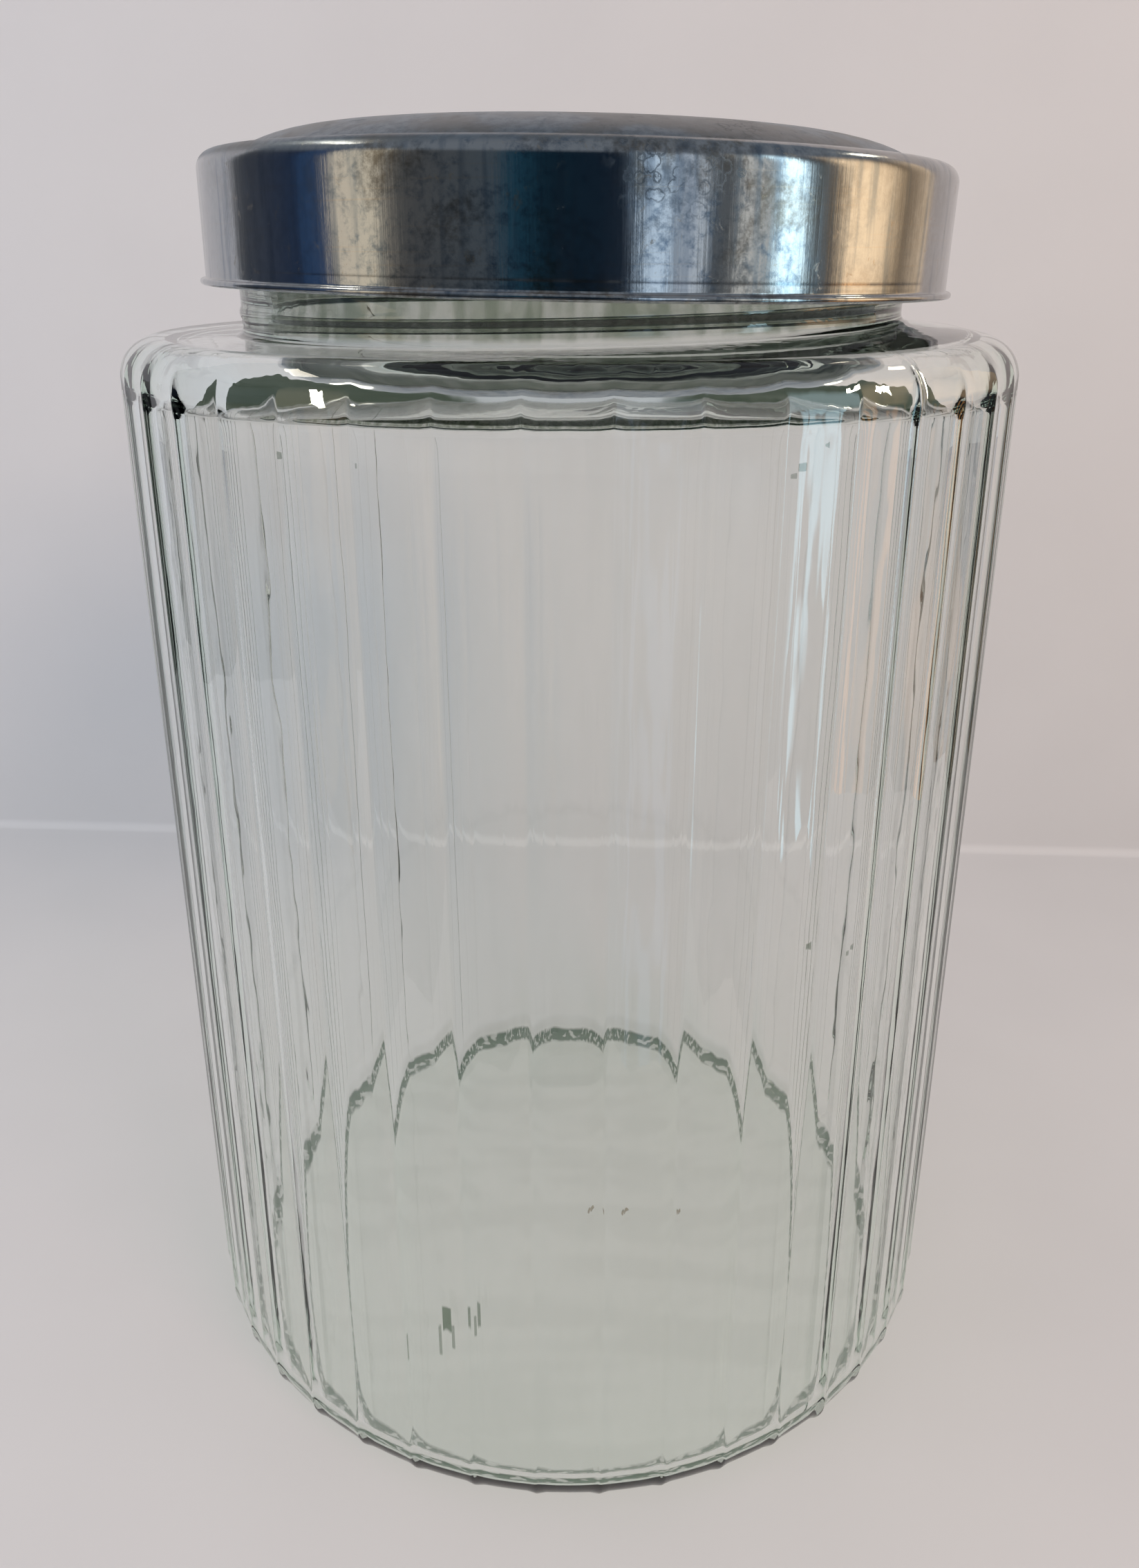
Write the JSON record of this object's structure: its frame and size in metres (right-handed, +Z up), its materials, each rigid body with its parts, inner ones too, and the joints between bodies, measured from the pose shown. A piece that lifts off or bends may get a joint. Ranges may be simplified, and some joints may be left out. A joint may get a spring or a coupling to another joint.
{
  "type": "ribbed glass storage jar",
  "caption": "Large round storage jar of thick glass with upright ribs, a short wide neck and a low domed metal lid that rests over the rim.",
  "frame": {"origin": "middle of the base, on the surface the jar stands on", "axes": "+Z up through the neck; -Y is the side the picture shows; +X is the picture's right"},
  "size_m": [0.195, 0.1946, 0.2866],
  "materials": {
    "jar": "clear moulded glass with a faint green tint in its thick parts",
    "lid": "bright plated sheet metal, tarnished blue-black with water spots and fine scratches"
  },
  "bodies": {
    "root": {"jar": "jar", "lid": "lid"}
  },
  "joints": []
}
